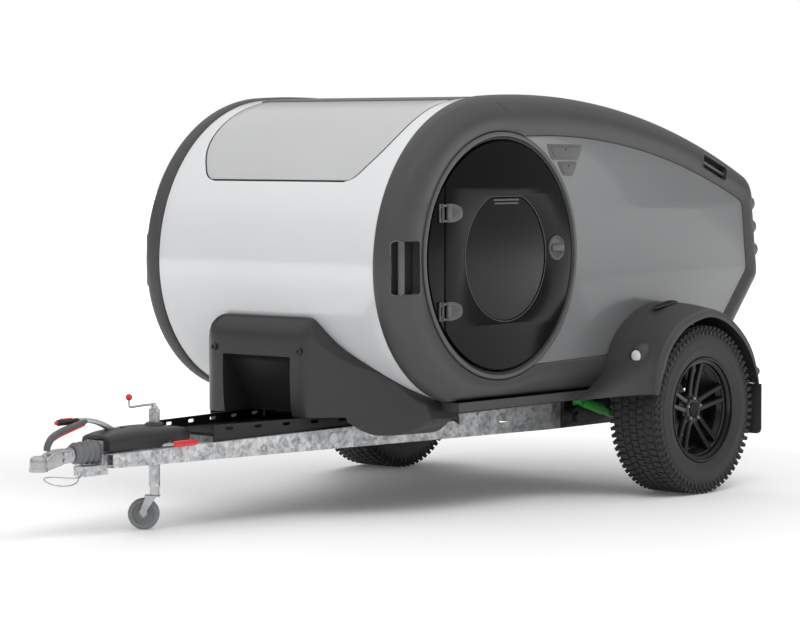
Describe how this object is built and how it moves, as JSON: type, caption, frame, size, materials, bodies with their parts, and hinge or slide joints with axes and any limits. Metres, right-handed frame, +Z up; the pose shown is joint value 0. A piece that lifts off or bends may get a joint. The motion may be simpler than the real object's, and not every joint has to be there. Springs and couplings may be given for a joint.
{
  "type": "teardrop trailer",
  "caption": "Small teardrop camping trailer with a rounded cabin, round side doors with hinged leaves, a lifting rear hatch, fenders and a drawbar with a ball coupling and a jockey wheel.",
  "frame": {"origin": "centre of the bounding box seen from above, on the ground the wheels stand on", "axes": "+X rearwards along the trailer, with the coupling at the low-X end; +Y to the trailer's right; +Z up"},
  "size_m": [4.135, 2.092, 1.8102],
  "materials": {
    "galvanised": "galvanised, mottled",
    "frame_paint": "satin",
    "steel": "plain",
    "shock_green": "gloss",
    "cast_drum": "bare",
    "rim_black": "black gloss paint",
    "tyre": "treaded",
    "grey_plastic": "fine grained",
    "rubber": "matte",
    "white_lens": "clear lens",
    "cast_silver": "satin silver",
    "black_plastic": "fine grained",
    "bellows_grey": "matte",
    "red_plastic": "gloss",
    "jockey_grey": "matte",
    "underseal": "matte",
    "white_paint": "gloss",
    "dark_glass": "dark tinted, opaque",
    "dark_paint": "satin",
    "grey_paint": "satin metallic",
    "gloss_black": "gloss",
    "red_lens": "lens"
  },
  "bodies": {
    "trailer": {"drawbar_beams": "galvanised", "frame_rails": "frame_paint", "cross_members": "frame_paint", "trailing_arms": "frame_paint", "stub_axles": "steel", "shock_absorbers": "shock_green", "left_fender": "grey_plastic", "right_fender": "grey_plastic", "mudflaps": "rubber", "marker_lamps": "white_lens", "coupling_head": "cast_silver", "coupling_handle": "black_plastic", "coupling_shaft": "steel", "bellows": "bellows_grey", "coupling_housing": "galvanised", "handbrake_lever": "steel", "handbrake_grip": "black_plastic", "brake_rod": "steel", "breakaway_cable": "steel", "drawbar_cover": "black_plastic", "drawbar_tray": "black_plastic", "jockey_tube": "galvanised", "jockey_post": "steel", "jockey_handles": "red_plastic", "nose_cover": "black_plastic", "floor_pan": "underseal", "nose_shell": "white_paint", "skylight": "dark_glass", "roof_panel": "dark_paint", "tail_panel": "dark_paint", "left_moulding": "grey_plastic", "right_moulding": "grey_plastic", "left_side_panel": "grey_paint", "right_side_panel": "grey_paint", "left_door_frame": "gloss_black", "right_door_frame": "gloss_black", "door_hinges": "gloss_black", "grab_bars": "black_plastic", "tail_lamps": "red_lens"},
    "left_wheel": {"left_brake_drum": "cast_drum", "left_rim": "rim_black", "left_tyre": "tyre"},
    "right_wheel": {"right_brake_drum": "cast_drum", "right_rim": "rim_black", "right_tyre": "tyre"},
    "jockey_swivel": {"jockey_fork": "galvanised"},
    "jockey_roller": {"jockey_wheel": "jockey_grey"},
    "left_door_leaf": {"left_door": "gloss_black", "left_door_window": "dark_glass"},
    "right_door_leaf": {"right_door": "gloss_black", "right_door_window": "dark_glass"},
    "hatch_lid": {"hatch": "dark_paint"}
  },
  "joints": [
    {"name": "left_wheel_spin", "type": "hinge", "parent": "trailer", "child": "left_wheel", "pos_m": [1.14652, -0.89, 0.385], "axis": [0, 1, 0], "continuous": true},
    {"name": "right_wheel_spin", "type": "hinge", "parent": "trailer", "child": "right_wheel", "pos_m": [1.14652, 0.89, 0.385], "axis": [0, 1, 0], "continuous": true},
    {"name": "jockey_swivel_turn", "type": "hinge", "parent": "trailer", "child": "jockey_swivel", "pos_m": [-1.37348, 0, 0.14], "axis": [0, 0, 1], "continuous": true},
    {"name": "jockey_wheel_spin", "type": "hinge", "parent": "jockey_swivel", "child": "jockey_roller", "pos_m": [-1.40253, 0.03437, 0.065], "axis": [-0.7638, -0.6455, 0], "continuous": true},
    {"name": "left_door_hinge", "type": "hinge", "parent": "trailer", "child": "left_door_leaf", "pos_m": [-0.38348, -0.764, 1.113], "axis": [0, 0, -1], "range_deg": [0, 100]},
    {"name": "right_door_hinge", "type": "hinge", "parent": "trailer", "child": "right_door_leaf", "pos_m": [-0.38348, 0.764, 1.113], "axis": [0, 0, 1], "range_deg": [0, 100]},
    {"name": "hatch_hinge", "type": "hinge", "parent": "trailer", "child": "hatch_lid", "pos_m": [1.25952, 0, 1.68007], "axis": [0, -1, 0], "range_deg": [0, 80]}
  ]
}
